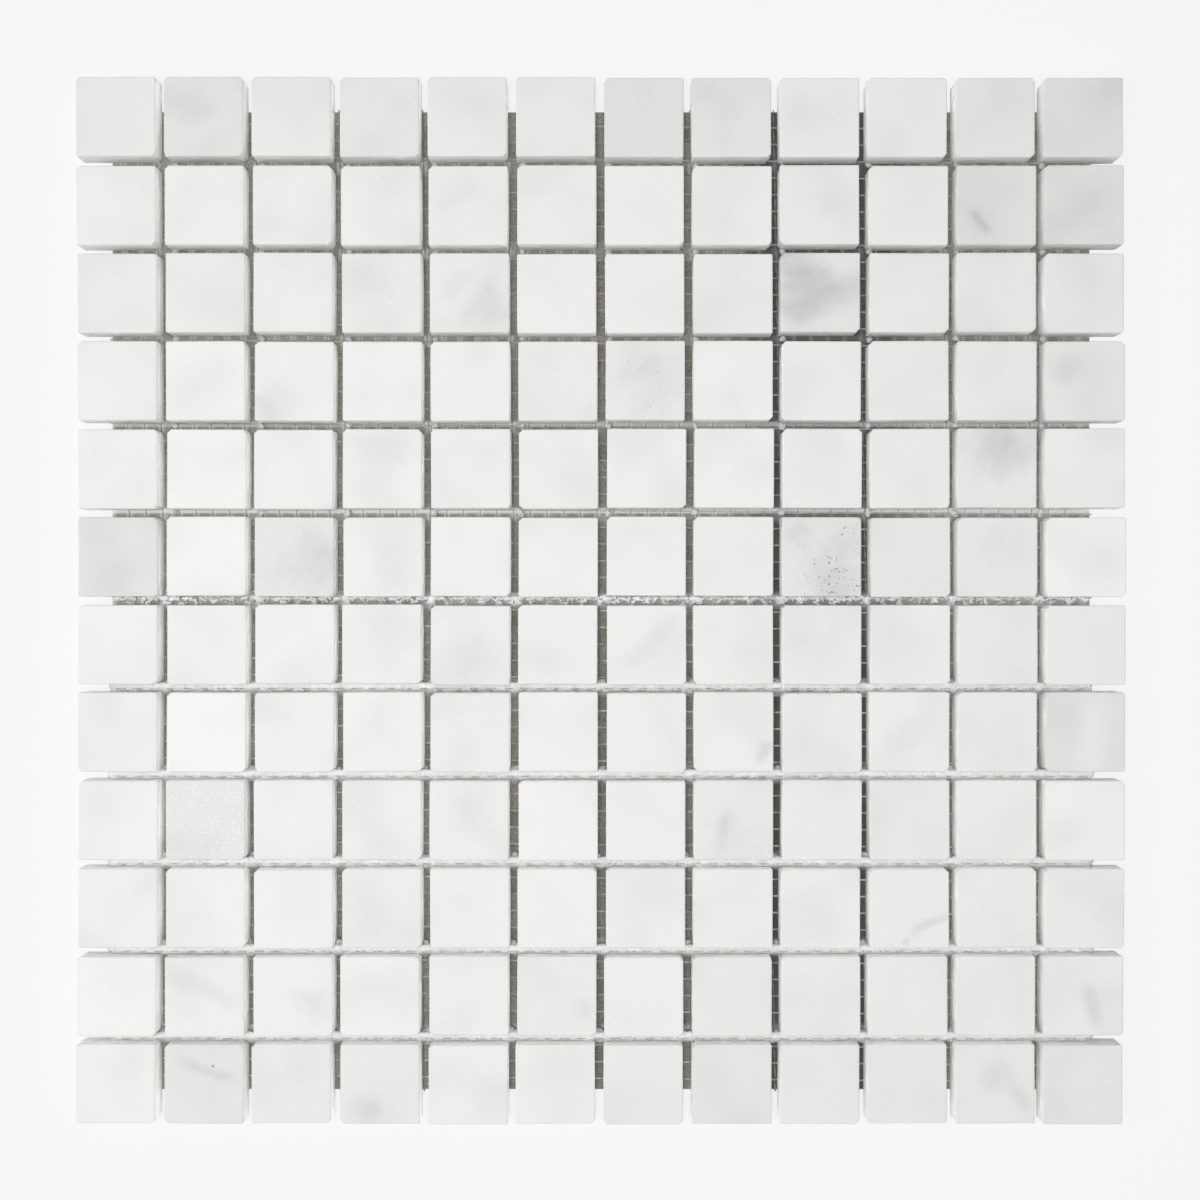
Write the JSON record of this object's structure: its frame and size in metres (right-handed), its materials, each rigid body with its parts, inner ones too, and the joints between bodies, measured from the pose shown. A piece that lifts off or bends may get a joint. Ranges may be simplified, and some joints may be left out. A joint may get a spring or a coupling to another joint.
{
  "type": "mosaic tile sheet",
  "caption": "Square sheet of small square marble mosaic tiles in an even grid with open joints, glued face up on a fibreglass backing net.",
  "frame": {"origin": "middle of the sheet's outline, on the underside of the backing net", "axes": "+Z out of the finished faces of the tiles, +X along the tile rows to the picture's right, +Y towards the picture's top"},
  "size_m": [0.3034, 0.3028, 0.01],
  "materials": {
    "marble": "honed white marble with faint grey clouds",
    "backing_net": "glue-soaked fibreglass net"
  },
  "bodies": {
    "root": {"tile_row_01": "marble", "tile_row_02": "marble", "tile_row_03": "marble", "tile_row_04": "marble", "tile_row_05": "marble", "tile_row_06": "marble", "tile_row_07": "marble", "tile_row_08": "marble", "tile_row_09": "marble", "tile_row_10": "marble", "tile_row_11": "marble", "tile_row_12": "marble", "net_top_left": "backing_net", "net_top_centre": "backing_net", "net_top_right": "backing_net", "net_middle_left": "backing_net", "net_middle_centre": "backing_net", "net_middle_right": "backing_net", "net_bottom_left": "backing_net", "net_bottom_centre": "backing_net", "net_bottom_right": "backing_net"}
  },
  "joints": []
}
